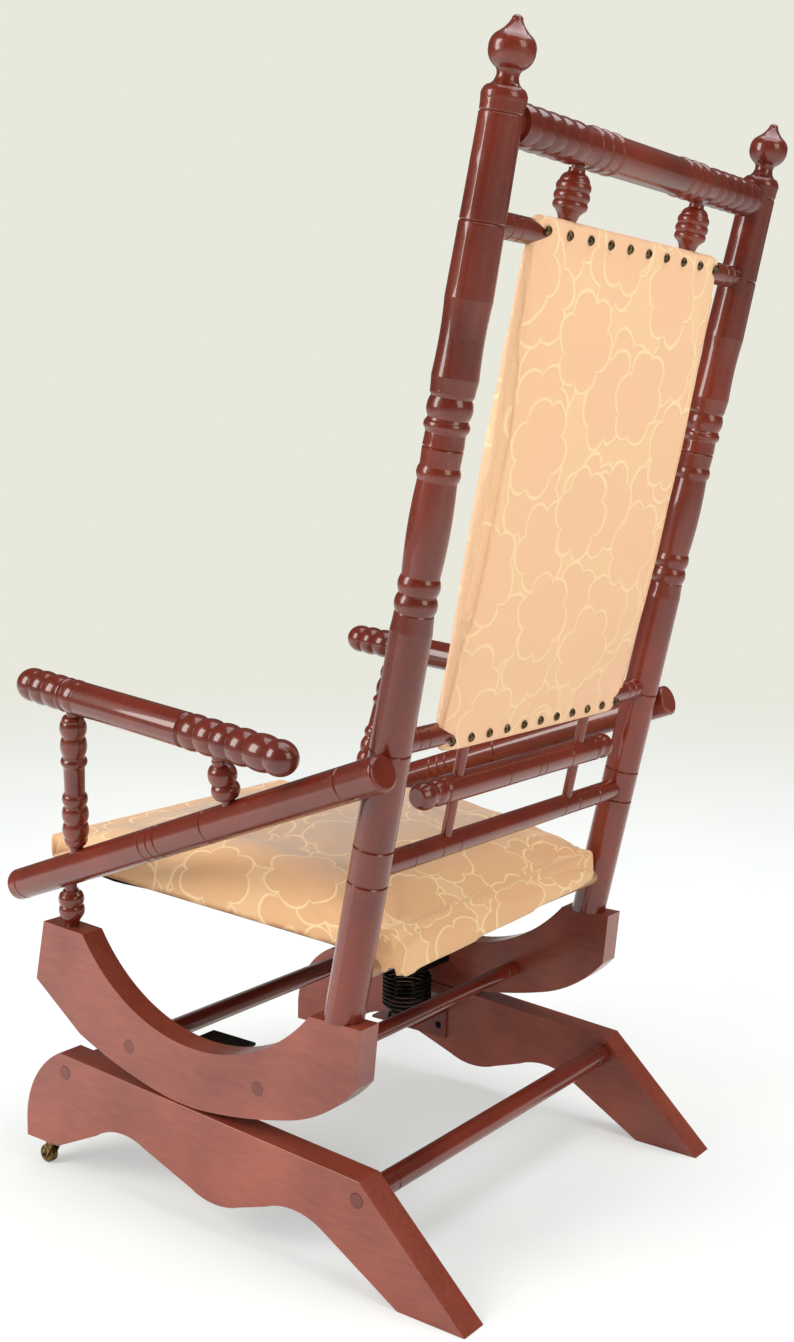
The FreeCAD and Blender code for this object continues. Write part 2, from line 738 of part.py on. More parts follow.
def arm_piece(label, foot, head, low, high, shape, length_size):
    """Turned upright with tenons, drawn from low above its foot point to high below its head point."""
    tenon = SIZE["arm_tenon"]
    length = (head - foot).Length - low - high
    stations = [(0, tenon, 0), (shape[0][0], tenon, 0), *shape, (shape[-1][0], tenon, 0), (length, tenon, 0)]
    for name, side in SIDES:
        way = sided(head - foot, side).normalize()
        body = turned(f"{label}_{name}", stations, length_size, "arm_post_radius", sided(foot, side) + way * low, way)
        finish(body, f"{label}_{name}")


def arm_uprights():
    """Front arm posts, the short posts on the rocker horns and the short rear spindles."""
    shape = [(14.8, 7.4, 0), (17, 7.6, -0.3), (26, 11.2, 2.0)]
    shape += bead(34.5, 17, 11.2, 13.4)
    shape += bead(52, 18, 11.0, 13.4)
    shape += bead(69, 12, 10.8, 12.8)
    shape += [(77, 10.2, 0), (103, 10.6, 0)]
    shape += bead(110, 9, 11.0, 13.2)
    shape += bead(127, 21, 10.8, 13.2)
    shape += bead(146, 17, 11.0, 13.3)
    shape += [(159.5, 7.2, 1.0)]
    arm_piece("arm_post", arm_post_foot, arm_post_head, 8.5, 8.5, shape, "arm_post_length")
    shape = [(17.5, 7.6, 0), (23, 8.4, -0.4), (27, 11.4, 0)]
    shape += bead(33.5, 13, 11.4, 13.3)
    shape += bead(46, 12, 11.4, 13.1)
    shape += [(54.5, 8.4, 0), (56.0, 8.0, 0)]
    arm_piece("horn_post", horn_foot, horn_head, -14.0, 8.5, shape, "horn_post_length")
    shape = [(12.9, 8.0, 0), (14.5, 8.2, 0)]
    shape += bead(21.5, 14, 10.6, 13.5)
    shape += bead(37, 17, 10.6, 13.6)
    shape += [(48, 7.2, 0), (52, 7.2, 0)]
    arm_piece("arm_spindle", spindle_foot, spindle_head, 8.5, 8.5, shape, "arm_spindle_length")


# Seat

def seat_frame():
    """Flat frame: two side rails on the bearers, two slats, a round brace on the rocking line."""
    thick = SIZE["frame_thickness"]
    high = SIZE["frame_height"]
    bearer = on_line(rail_front, rail_axis, front_bearer_place)
    for name, side in SIDES:
        label = f"seat_frame_{name}"
        corner = seat_point(180.0 * side - thick / 2, -50.0, 0)
        rail = doc.addObject("Part::Box", label + "_block")
        rail.setExpression("Length", "sizes.frame_thickness")
        rail.setExpression("Height", "sizes.frame_height")
        rail.Width = 395
        rail.Placement = FreeCAD.Placement(corner, seat_turn)
        pin = Vector(178.0 * side, brace_centre.y, brace_centre.z)
        tools = [rod(f"{label}_pin_hole", pin, Vector(-side, 0, 0), "brace_radius", 30, "turning_gap")]
        through = Vector(180.0 * side, bearer.y, bearer.z)
        tools.append(rod(f"{label}_bearer_hole", through, Vector(1, 0, 0), "bearer_radius", 40, "glue_gap", True))
        finish(cut(label, rail, tools), label)
    for name, deep in (("front", -50.0), ("rear", 325.0)):
        label = f"seat_slat_{name}"
        half = 180.0 - thick / 2
        slat = block(label, seat_point(-half, deep, 0), 2 * half, 20, high, seat_turn)
        slat.setExpression("Height", "sizes.frame_height")
        finish(slat, label)
    bearer.x -= 9
    front = rod("seat_bearer_front", Vector(0, bearer.y, bearer.z), Vector(1, 0, 0), "bearer_radius", 2 * bearer.x, None, True)
    finish(front, "seat_bearer_front")
    rear = post_point(bearer_at)
    half = rear.x - 8
    rear.x = 0
    finish(rod("seat_bearer_rear", rear, Vector(1, 0, 0), "bearer_radius", 2 * half, None, True), "seat_bearer_rear")
    brace = rod("seat_brace", brace_centre, Vector(1, 0, 0), "brace_radius", 2 * 177.6, None, True)
    finish(brace, "seat_brace")
    straps = []
    for number, across in enumerate((-112.0, 0.0, 112.0)):
        corner = seat_point(across - SIZE["strap_width"] / 2, -50.0, high)
        strap = block(f"strap_{number}", corner, SIZE["strap_width"], 395, SIZE["strap_thickness"], seat_turn)
        strap.setExpression("Height", "sizes.strap_thickness")
        straps.append(strap)
    finish(group("seat_webbing", straps), "seat_webbing")


def seat_cushion():
    """Crowned cushion that falls away to the front, the rear and both sides, over the frame."""
    side_view = doc.addObject("PartDesign::Body", "cushion_side_view")
    sketch = new_sketch(side_view, "YZ_Plane", "cushion_side_outline")
    corners = [
        (0, 0, None),
        (474.0, 0, None),
        (331.0, 61.0, (421.0, 45.0)),
        (120.0, 52.0, (225.0, 66.0)),
        (0, 3.0, (46.0, 31.0)),
    ]
    draw_outline(sketch, corners, "seat_depth", "seat_height")
    symmetric_pad(side_view, sketch, "rail_span", "cushion_side_pad")
    front_view = doc.addObject("PartDesign::Body", "cushion_front_view")
    sketch = new_sketch(front_view, "XZ_Plane", "cushion_front_outline")
    half = SIZE["seat_half_width"]
    corners = [
        (-half, 2.0, (-half - 1.5, 22.0)),
        (-half + 2, 0, None),
        (half - 2, 0, None),
        (half, 2.0, None),
        (half - 4, 40.0, (half + 1.5, 22.0)),
        (half - 40, 58.5, (half - 17, 52.5)),
        (-half + 40, 58.5, (0, 66.0)),
        (-half + 4, 40.0, (-half + 17, 52.5)),
    ]
    draw_outline(sketch, corners, "seat_half_width", "seat_height")
    pad = front_view.newObject("PartDesign::Pad", "cushion_front_pad")
    pad.Profile = sketch
    pad.SideType = "Symmetric"
    pad.Length = 2 * SIZE["seat_depth"] + 40
    corner = seat_point(0, -102.0, 0)
    side_view.Placement = FreeCAD.Placement(corner, seat_turn)
    front_view.Placement = FreeCAD.Placement(corner, seat_turn)
    doc.recompute()
    crowned = doc.addObject("Part::Common", "cushion_crowned")
    crowned.Base = side_view
    crowned.Tool = front_view
    hollow = block("cushion_hollow", seat_point(-190.0, -51.0, -5), 380, 397, 30.5, seat_turn)
    bearer = doc.addObject("Part::Cylinder", "cushion_bearer_notch")
    bearer.setExpression("Radius", "sizes.bearer_radius + 1")
    bearer.Height = 440
    middle = on_line(rail_front, rail_axis, front_bearer_place)
    bearer.Placement = FreeCAD.Placement(Vector(-220, middle.y, middle.z), FreeCAD.Rotation(Vector(0, 0, 1), Vector(1, 0, 0)))
    finish(cut("seat_cushion", crowned, [hollow, bearer]), "seat_cushion")


# Back pad

back_origin = post_point(lower_rail_at - 12.5)
back_turn = FreeCAD.Rotation(Vector(1, 0, 0), -math.degrees(math.atan2(post_axis.y, post_axis.z)))


def back_pad():
    """Thin upholstered pad wrapped over both pad rails, a little narrower at the foot."""
    body = doc.addObject("PartDesign::Body", "back_pad_body")
    sketch = new_sketch(body, "XZ_Plane", "back_pad_outline")
    high = upper_rail_at - lower_rail_at + 24.0
    foot = SIZE["pad_half_foot"]
    head = SIZE["pad_half_top"]
    corners = [
        (-foot + 18, 0, None),
        (foot - 18, 0, None),
        (foot, 26.0, None),
        (head, high - 30.0, None),
        (head - 14, high, None),
        (-head + 14, high, None),
        (-head, high - 30.0, None),
        (-foot, 26.0, None),
    ]
    draw_outline(sketch, corners, "pad_half_top", "post_length")
    pad = symmetric_pad(body, sketch, "pad_depth", "back_pad_pad")
    doc.recompute()
    rounding = body.newObject("PartDesign::Fillet", "back_pad_rounding")
    rounding.Base = (pad, [f"Edge{number + 1}" for number in range(len(pad.Shape.Edges))])
    rounding.Radius = 7
    middle = Vector(0, back_origin.y, back_origin.z) - back_rear * 5.8
    body.Placement = FreeCAD.Placement(middle, back_turn)
    doc.recompute()
    tools = []
    for number, height in enumerate((lower_rail_at, upper_rail_at)):
        centre = post_point(height)
        centre.x = 0
        tools.append(rod(f"back_pad_rail_{number}", centre, Vector(1, 0, 0), "pad_rail_radius", 400, "glue_gap", True))
    for name, side in SIDES:
        foot_point = post_point(upper_rail_at)
        start = Vector(spindle_place * side, foot_point.y, foot_point.z)
        tool = doc.addObject("Part::Cylinder", f"back_pad_spindle_{name}")
        tool.Radius = 9.2
        tool.Height = 30
        tool.Placement = FreeCAD.Placement(start, back_turn)
        tools.append(tool)
        low = post_point(lower_rail_at)
        start = Vector(stick_place * side, low.y, low.z)
        tools.append(rod(f"back_pad_stick_{name}", start, back_up * -1, "stick_radius", 30, "glue_gap"))
    finish(cut("back_pad", body, tools), "back_pad")


def nail_row(label, height, half, count):
    """Row of domed nails on the rear cloth."""
    face = 12.2
    radius = SIZE["nail_radius"]
    centre = post_point(height)
    nails = []
    for number in range(count):
        across = half - 2 * half * number / (count - 1)
        ball = doc.addObject("Part::Sphere", f"{label}_ball_{number}")
        ball.setExpression("Radius", "sizes.nail_radius * 1.05")
        ball.Angle1 = 22
        spot = Vector(across, centre.y, centre.z) + back_rear * (face - radius * 1.05 * math.sin(math.radians(22)))
        ball.Placement = FreeCAD.Placement(spot, FreeCAD.Rotation(Vector(0, 0, 1), back_rear))
        nails.append(ball)
    finish(group(label, nails), label)


# Springs

def coil(label, side):
    """Close wound coil as one tube whose ends stand upright on the brackets."""
    wire = SIZE["wire_radius"]
    radius = SIZE["coil_radius"] - wire
    pitch = SIZE["coil_pitch"]
    turns = int(SIZE["coil_turns"])
    low = lower_seat + SIZE["glue_gap"] + coil_lead
    centre = Vector(coil_side * side, coil_place, low)

    def winding(angle):
        return centre + Vector(radius * math.cos(angle), radius * math.sin(angle), pitch * angle / (2 * math.pi))

    def lead(angle, way):
        """Quarter bend from the winding to upright, with its straight end."""
        spot = winding(angle)
        along = Vector(-math.sin(angle), math.cos(angle), pitch / (2 * math.pi * radius)).normalize() * way
        upright = Vector(0, 0, way)
        middle = spot + along * coil_bend * math.sin(math.pi / 4) + upright * coil_bend * (1 - math.cos(math.pi / 4))
        end = spot + along * coil_bend + upright * coil_bend
        return spot, middle, end, end + upright * 2 * wire

    last = 2 * math.pi * turns
    edges = []
    spot, middle, end, tip = lead(0, -1)
    edges.append(Part.LineSegment(tip, end).toShape())
    edges.append(Part.Arc(end, middle, spot).toShape())
    steps = 4 * turns
    for number in range(steps):
        first = last * number / steps
        second = last * (number + 1) / steps
        arc = Part.Arc(winding(first), winding((first + second) / 2), winding(second))
        edges.append(arc.toShape())
    spot, middle, end, tip = lead(last, 1)
    edges.append(Part.Arc(spot, middle, end).toShape())
    edges.append(Part.LineSegment(end, tip).toShape())
    path = Part.Wire(edges)
    start = path.Vertexes[0].Point
    ring = Part.Wire([Part.makeCircle(wire, start, Vector(0, 0, 1))])
    piece = doc.addObject("Part::Feature", label)
    piece.Shape = path.makePipeShell([ring], True, False)
    print(label, "length", round(path.Length, 1), "volume share", round(piece.Shape.Volume / (path.Length * math.pi * wire ** 2), 4))
    print(label, "gap between turns", round(pitch - 2 * wire, 2))
    finish(piece, label)


def springs():
    """Coils at the rolling contact, with a bracket on the base board and one on the rocker."""
    plate = SIZE["bracket_thickness"]
    width = 2 * SIZE["coil_radius"]
    base_face = SIZE["board_centre"] - SIZE["base_thickness"] / 2
    rocker_face = SIZE["board_centre"] - SIZE["rocker_thickness"] / 2
    inner = coil_side - SIZE["coil_radius"]
    for name, side in SIDES:
        for kind, face, seat, low in (
            ("lower", base_face, lower_seat - plate, lower_seat - 36),
            ("upper", rocker_face, upper_seat, upper_seat),
        ):
            label = f"spring_bracket_{kind}_{name}"
            left = inner if side > 0 else -face
            shelf = block(label + "_shelf", Vector(left, coil_place - width / 2, seat), face - inner, width, plate)
            shelf.setExpression("Height", "sizes.bracket_thickness")
            left = face - plate if side > 0 else -face
            high = 36 if kind == "lower" else 24
            wing = block(label + "_wing", Vector(left, coil_place - width / 2, low), plate, width, high)
            finish(fuse(label, [shelf, wing]), label)
        coil(f"spring_coil_{name}", side)
    for kind, face, high in (("lower", base_face, lower_seat - 22), ("upper", rocker_face, upper_seat + 15)):
        heads = []
        for name, side in SIDES:
            for number, deep in enumerate((coil_place - 18, coil_place + 18)):
                head = doc.addObject("Part::Sphere", f"screw_{kind}_{name}_{number}")
                head.Radius = 5.4
                head.Angle1 = 35
                drop = 5.4 * math.sin(math.radians(35))
                spot = Vector((face - plate + drop) * side, deep, high)
                head.Placement = FreeCAD.Placement(spot, FreeCAD.Rotation(Vector(0, 0, 1), Vector(-side, 0, 0)))
                heads.append(head)
        finish(group(f"spring_screws_{kind}", heads), f"spring_screws_{kind}")


# Casters

def casters():
    """Small swivel casters under the front feet."""
    top = SIZE["foot_height"]
    radius = SIZE["wheel_radius"]
    trail = SIZE["caster_trail"]
    sockets = []
    for name, side in SIDES:
        centre = Vector(SIZE["board_centre"] * side, caster_place, 0)
        flange = doc.addObject("Part::Cylinder", f"socket_flange_{name}")
        flange.Radius = 12
        flange.Height = 2
        flange.Placement.Base = centre + Vector(0, 0, top - 2)
        cup = doc.addObject("Part::Cylinder", f"socket_cup_{name}")
        cup.Radius = 5
        cup.Height = 13
        cup.Placement.Base = centre + Vector(0, 0, top - 0.5)
        bore = doc.addObject("Part::Cylinder", f"socket_bore_{name}")
        bore.Radius = 3.07
        bore.Height = 13
        bore.Placement.Base = centre + Vector(0, 0, top - 3)
        sockets.append(cut(f"socket_{name}", fuse(f"socket_solid_{name}", [flange, cup]), [bore]))
        crown = doc.addObject("Part::Cylinder", f"fork_crown_{name}")
        crown.Radius = 8.5
        crown.Height = 3.5
        crown.Placement.Base = centre + Vector(0, 0, 24.2)
        pin = doc.addObject("Part::Cylinder", f"fork_pin_{name}")
        pin.Radius = 3
        pin.Height = 14
        pin.Placement.Base = centre + Vector(0, 0, 25)
        outline = [
            (0, 3.0, None),
            (8.4, 3.0, (4.2, 0)),
            (18.2, 20.0, None),
            (8.2, 20.0, None),
        ]
        cheeks = []
        for number, across in enumerate((-6.2, 6.2)):
            corner = centre + Vector(across, -trail - 4.2, radius - 4.2)
            cheek = f"cheek_{name}_{number}"
            cheeks.append(board(cheek, outline, "cheek_length", "cheek_height", "cheek_thickness", corner))
        doc.recompute()
        body = fuse(f"caster_fork_{name}_solid", [crown, pin, *cheeks])
        axle_place = centre + Vector(0, -trail, radius)
        hole = doc.addObject("Part::Cylinder", f"fork_hole_{name}")
        hole.Radius = 1.55
        hole.Height = 30
        hole.Placement = FreeCAD.Placement(axle_place - Vector(15, 0, 0), FreeCAD.Rotation(Vector(0, 0, 1), Vector(1, 0, 0)))
        finish(cut(f"caster_fork_{name}", body, [hole]), f"caster_fork_{name}")
        axle = doc.addObject("Part::Cylinder", f"caster_axle_{name}")
        axle.Radius = 1.5
        axle.Height = 17
        axle.Placement = FreeCAD.Placement(axle_place - Vector(8.5, 0, 0), FreeCAD.Rotation(Vector(0, 0, 1), Vector(1, 0, 0)))
        finish(axle, f"caster_axle_{name}")
        wide = SIZE["wheel_width"]
        stations = [(0, radius - 1.5, 0), (1.5, radius, 0.4), (wide - 1.5, radius, 0), (wide, radius - 1.5, 0.4)]
        foot = axle_place - Vector(wide / 2, 0, 0)
        label = f"caster_wheel_{name}"
        disc = turned(label, stations, "wheel_width", "wheel_radius", foot, Vector(1, 0, 0))
        drill = rod(f"{label}_drill", axle_place, Vector(1, 0, 0), "axle_radius", 30, "turning_gap", True)
        finish(cut(label, disc, [drill]), label)
    finish(group("caster_sockets", sockets), "caster_sockets")


base_boards()
stretchers()
rocker_boards()
back_posts()
back_rails()
bobbin_rail()
bobbin_sticks()
top_spindles()
side_rails()
side_rail_pegs()
armrests()
arm_uprights()
seat_frame()
seat_cushion()
back_pad()
nail_row("back_nails_upper", upper_rail_at + 3.0, 157.0, 10)
nail_row("back_nails_lower", lower_rail_at - 4.0, 150.0, 11)
springs()
casters()
doc.recompute()

faults = []
for item in doc.Objects:
    if "Invalid" in item.State or "Error" in item.State:
        faults.append(f"{item.Name}: {item.State}")
for piece in nodes:
    if piece.Shape.isNull() or not piece.Shape.isValid():
        faults.append(f"{piece.Label}: bad shape")
if faults:
    raise SystemExit("\n".join(faults))

os.makedirs("parts", exist_ok=True)
for piece in nodes:
    piece.Shape.exportStep(f"parts/{piece.Label}.step")
print(len(nodes), "pieces written")
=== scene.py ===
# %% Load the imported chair
import math
import bmesh
import bpy
import numpy as np
from mathutils import Matrix, Vector
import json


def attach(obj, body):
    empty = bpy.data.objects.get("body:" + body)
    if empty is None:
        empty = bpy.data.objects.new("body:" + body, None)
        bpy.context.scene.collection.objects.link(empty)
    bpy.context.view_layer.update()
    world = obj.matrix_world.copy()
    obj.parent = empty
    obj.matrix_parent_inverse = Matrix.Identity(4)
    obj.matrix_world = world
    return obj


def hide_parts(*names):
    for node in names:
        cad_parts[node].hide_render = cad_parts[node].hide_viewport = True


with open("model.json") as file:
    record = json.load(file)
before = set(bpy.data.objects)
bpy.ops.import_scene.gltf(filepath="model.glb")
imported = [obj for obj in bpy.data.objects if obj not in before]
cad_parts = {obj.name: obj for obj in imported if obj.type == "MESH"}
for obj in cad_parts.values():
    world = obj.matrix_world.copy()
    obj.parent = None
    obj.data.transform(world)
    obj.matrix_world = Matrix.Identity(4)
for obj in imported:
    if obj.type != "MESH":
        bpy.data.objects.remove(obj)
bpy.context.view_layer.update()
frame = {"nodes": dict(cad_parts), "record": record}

nodes = frame["nodes"]

# %% [markdown]
# The chair is a platform rocker: a chair on two crescent rockers that roll on the sloping
# tops of a low base. The first thing a picture of it needs is the place it is seen from.
# The camera stands behind the sitter's left shoulder, about a metre and a half away, at the
# height of the armrests. Its three directions are worked out from two angles and a small roll,
# and written as the columns of a matrix, which is plainer than three turns in a row.

# %% Camera
azimuth, elevation, roll = 0.936, 0.141, 0.012
ahead = Vector((-math.sin(azimuth) * math.cos(elevation), -math.cos(azimuth) * math.cos(elevation),
                -math.sin(elevation)))
right = ahead.cross(Vector((0, 0, 1))).normalized()
above = right.cross(ahead)
level_right = right * math.cos(roll) + above * math.sin(roll)
level_up = above * math.cos(roll) - right * math.sin(roll)

camera = bpy.data.objects.new("camera", bpy.data.cameras.new("camera"))
bpy.context.scene.collection.objects.link(camera)
camera.matrix_world = Matrix((level_right, level_up, -ahead)).transposed().to_4x4()
camera.location = (1.2908, 0.9697, 0.7518)
photo_height = 1342
camera.data.lens = 1578.7 / photo_height * 36
camera.data.shift_x = -1.0 / photo_height
camera.data.shift_y = 6.5 / photo_height
camera.data.clip_start = 0.05
bpy.context.scene.camera = camera
print("lens", round(camera.data.lens, 2), "mm")

# %% [markdown]
# Small helpers carry every finish. Paint and cloth colours are chosen as on a screen, in sRGB,
# while Blender mixes light in linear values, so one function turns a hex colour into those.
# The next adds a shader node, sets its inputs and links what is handed to it. The rest are
# short names for the nodes that are used most: a sum, a change of range, a mixed colour, noise.

# %% Colour and node helpers
def linear(code):
    """Linear colour of an sRGB hex value."""
    shares = [int(code[i:i + 2], 16) / 255 for i in (1, 3, 5)]
    return [c / 12.92 if c <= 0.04045 else ((c + 0.055) / 1.055) ** 2.4 for c in shares] + [1.0]


def add_node(tree, kind, inputs=None, **settings):
    """New shader node with its settings, input values and links."""
    node = tree.nodes.new(kind)
    for name, value in settings.items():
        setattr(node, name, value)
    for socket, value in (inputs or {}).items():
        if isinstance(value, bpy.types.NodeSocket):
            tree.links.new(value, node.inputs[socket])
        else:
            node.inputs[socket].default_value = value
    return node


def maths(tree, operation, *values):
    """Result of a math node."""
    return add_node(tree, "ShaderNodeMath", dict(enumerate(values)), operation=operation).outputs[0]


def vector_maths(tree, operation, *values):
    """Result of a vector math node."""
    return add_node(tree, "ShaderNodeVectorMath", dict(enumerate(values)), operation=operation).outputs[0]


def length(tree, vector):
    """Length of a vector."""
    return add_node(tree, "ShaderNodeVectorMath", {0: vector}, operation="LENGTH").outputs["Value"]


def ranged(tree, value, source, target, ease="LINEAR"):
    """A value carried from the source range into the target range."""
    return add_node(tree, "ShaderNodeMapRange", {
        "Value": value, "From Min": source[0], "From Max": source[1],
        "To Min": target[0], "To Max": target[1]}, interpolation_type=ease).outputs[0]


def mixed(tree, share, first, second):
    """Colour between two colours."""
    return add_node(tree, "ShaderNodeMix", {0: share, 6: first, 7: second}, data_type="RGBA").outputs[2]


def noise(tree, place, scale, detail):
    """Noise texture."""
    return add_node(tree, "ShaderNodeTexNoise", {"Vector": place, "Scale": scale, "Detail": detail})


def bumped(tree, height, strength, distance):
    """Surface direction after a relief."""
    return add_node(tree, "ShaderNodeBump", {
        "Height": height, "Strength": strength, "Distance": distance}).outputs[0]


def object_place(tree):
    """Place on the object, in metres."""
    return add_node(tree, "ShaderNodeTexCoord").outputs["Object"]


def new_finish(name):
    """Empty material and its node tree."""
    finish = bpy.data.materials.new(name)
    finish.use_nodes = True
    finish.node_tree.nodes.clear()
    return finish, finish.node_tree


def set_ramp(tree, value, stops):
    """Colour of a ramp with stops (place, hex)."""
    node = add_node(tree, "ShaderNodeValToRGB", {"Fac": value})
    band = node.color_ramp
    while len(band.elements) < len(stops):
        band.elements.new(0.5)
    for element, (place, code) in zip(band.elements, stops):
        element.position = place
        element.color = linear(code)
    return node.outputs["Color"]


def show_surface(tree, surface):
    """Last node of a material."""
    add_node(tree, "ShaderNodeOutputMaterial", {"Surface": surface.outputs[0]})


print("mahogany red is", [round(c, 3) for c in linear("#5e2418")])

# %% [markdown]
# The light is what a photographer would use for furniture: one large soft lamp high on the
# left, a weaker one behind the camera, and pale surroundings. Together they are plain enough
# that a colour shows about as it is written. The floor is a white cloth that runs up into a
# pale wall without an edge. Only what the camera sees of it is brightened, which leaves the
# light on the chair alone: near the chair a good part of the cloth's own shading shows, so the
# shadow stays, and four metres out the wall's tone has taken over. The varnish mirrors a room
# that is darker than the one that lights it, which keeps the red deep and its highlights sharp.

# %% Floor and lights
wall_tone = "#e8e8dd"
floor = bpy.data.objects.new("floor", bpy.data.meshes.new("floor"))
bpy.context.scene.collection.objects.link(floor)
sheet = bmesh.new()
bmesh.ops.create_circle(sheet, cap_ends=True, radius=30.0, segments=64)
sheet.to_mesh(floor.data)
sheet.free()
floor_cloth, tree = new_finish("pale floor cloth")
place = object_place(tree)
# The faint tint of the floor cloth follows a noise of painted fold shade.
fold_shade_noise = noise(tree, place, 2.2, 3.0).outputs["Fac"]
tint = set_ramp(tree, fold_shade_noise, [(0.35, "#eef2f4"), (0.65, "#f7f8f7")])
surface = add_node(tree, "ShaderNodeBsdfDiffuse", {"Color": tint})
outwards = ranged(tree, length(tree, place), (0.7, 3.6), (0.0, 1.0), "SMOOTHSTEP")
shown = mixed(tree, outwards, linear("#fafdfe"), linear(wall_tone))
glow = add_node(tree, "ShaderNodeEmission", {"Color": shown})
eye = add_node(tree, "ShaderNodeLightPath").outputs["Is Camera Ray"]
lift = maths(tree, "MULTIPLY", ranged(tree, outwards, (0.0, 1.0), (0.38, 1.0)), eye)
blend = add_node(tree, "ShaderNodeMixShader", {0: lift, 1: surface.outputs[0], 2: glow.outputs[0]})
show_surface(tree, blend)
floor.data.materials.append(floor_cloth)


def soft_lamp(name, place, aim, size, power, code):
    """Rectangular area lamp that points at a spot."""
    lamp = bpy.data.lights.new(name, "AREA")
    lamp.shape = "RECTANGLE"
    lamp.size, lamp.size_y = size
    lamp.energy = power
    lamp.color = linear(code)[:3]
    holder = bpy.data.objects.new(name, lamp)
    holder.location = place
    holder.rotation_euler = (Vector(aim) - Vector(place)).to_track_quat("-Z", "Y").to_euler()
    bpy.context.scene.collection.objects.link(holder)


soft_lamp("window_left", (2.6, -1.6, 2.0), (0, 0, 0.5), (1.6, 2.2), 92, "#fffdf6")
soft_lamp("sky_above", (-0.4, 0.6, 3.2), (0, 0, 0.4), (2.6, 2.6), 60, "#fbfcff")
soft_lamp("window_behind", (0.4, 3.0, 1.8), (0, 0, 0.6), (1.4, 1.8), 30, "#fff6e0")

world = bpy.data.worlds.new("pale room")
bpy.context.scene.world = world
world.use_nodes = True
tree = world.node_tree
tree.nodes.clear()
rays = add_node(tree, "ShaderNodeLightPath").outputs
seen = maths(tree, "MAXIMUM", rays["Is Camera Ray"], rays["Is Transmission Ray"])


def backdrop(code, strength):
    """Even surroundings of one colour."""
    return add_node(tree, "ShaderNodeBackground", {
        "Color": linear(code), "Strength": strength}).outputs[0]


def either(share, first, second):
    """The second surroundings where share is one."""
    return add_node(tree, "ShaderNodeMixShader", {0: share, 1: first, 2: second}).outputs[0]


lit = either(rays["Is Glossy Ray"], backdrop("#dfe0da", 0.7), backdrop("#d8d6cf", 0.16))
around = either(seen, lit, backdrop(wall_tone, 1.0))
add_node(tree, "ShaderNodeOutputWorld", {"Surface": around})
bpy.context.scene.view_settings.view_transform = "Standard"
print("lamps", len(bpy.data.lights))

# %% [markdown]
# The frame is beech or birch, turned and sawn, under a mahogany-red paint with a glossy
# varnish over it. The paint hides the grain but not the pores, the brush leaves faint
# streaks, and the varnish gives small bright highlights over the soft sheen. A coat on the
# Principled shader is that varnish. The boards get the same paint with stronger pores, in a
# lighter colour that is painted sheen. The turnings get it in a darker colour that is painted
# shade, so the one paint comes as a lit and a shaded copy.

# %% Painted wood
def painted_wood(name, dark, light, pore_depth, grain, sheen):
    """Paint under varnish. grain stretches the pores, sheen spreads the varnish highlight."""
    finish, tree = new_finish(name)
    place = object_place(tree)
    along = add_node(tree, "ShaderNodeMapping", {"Vector": place, "Scale": grain}).outputs[0]
    cloud = noise(tree, place, 9.0, 4.0).outputs["Fac"]
    streak = noise(tree, along, 260.0, 3.0).outputs["Fac"]
    both = maths(tree, "MULTIPLY_ADD", streak, 0.35, cloud)
    paint = add_node(tree, "ShaderNodeBsdfPrincipled", {
        "Base Color": set_ramp(tree, both, [(0.4, dark), (0.95, light)]),
        "Roughness": ranged(tree, cloud, (0.0, 1.0), (0.28, 0.42)),
        "Normal": bumped(tree, streak, pore_depth, 0.0006), "Specular IOR Level": 0.3,
        "Coat Weight": 0.8, "Coat Roughness": sheen, "Coat IOR": 1.5})
    show_surface(tree, paint)
    return finish


all_ways, along_depth = (1.0, 1.0, 1.0), (1.0, 0.12, 1.0)
# The turnings' colours are darkened as painted shade, and the boards' colours are lightened as painted
# sheen.
turning_paint_darkened_as_shade = painted_wood("varnished mahogany paint on turnings", "#4c1105", "#7b2813",
                            0.12, all_ways, 0.05)
board_paint_lightened_as_sheen = painted_wood("varnished mahogany paint on boards", "#6a2516", "#994a38",
                           0.35, along_depth, 0.22)
plain_wood = painted_wood("oiled softwood of the seat frame", "#7a5530", "#a98052",
                          0.5, (1.0, 0.1, 1.0), 0.4)
print("paints", turning_paint_darkened_as_shade.name, "/", board_paint_lightened_as_sheen.name)

# %% [markdown]
# The metal parts are small. The dome nails are brass gone nearly black with age, the coils
# and their upper brackets are blackened iron, and the casters are worn brass. Each is a metal
# with a dark colour and a rough, spotted surface, so that only the crowns catch the light.

# %% Metals
def aged_metal(name, dark, light, spot_scale, roughness):
    """Metal darkened in spots."""
    finish, tree = new_finish(name)
    spots = noise(tree, object_place(tree), spot_scale, 5.0).outputs["Fac"]
    metal = add_node(tree, "ShaderNodeBsdfPrincipled", {
        "Base Color": set_ramp(tree, spots, [(0.38, dark), (0.66, light)]), "Metallic": 0.9,
        "Roughness": ranged(tree, spots, (0.0, 1.0), (roughness + 0.15, roughness - 0.08)),
        "Normal": bumped(tree, spots, 0.25, 0.0004)})
    show_surface(tree, metal)
    return finish


nail_brass = aged_metal("aged brass of the dome nails", "#2a2118", "#7d6544", 420.0, 0.38)
black_iron = aged_metal("blackened iron", "#0c0b0a", "#2c2926", 180.0, 0.42)
caster_brass = aged_metal("worn brass of the casters", "#4a3a20", "#9a7b45", 300.0, 0.35)
print("metals", nail_brass.name, black_iron.name, caster_brass.name)

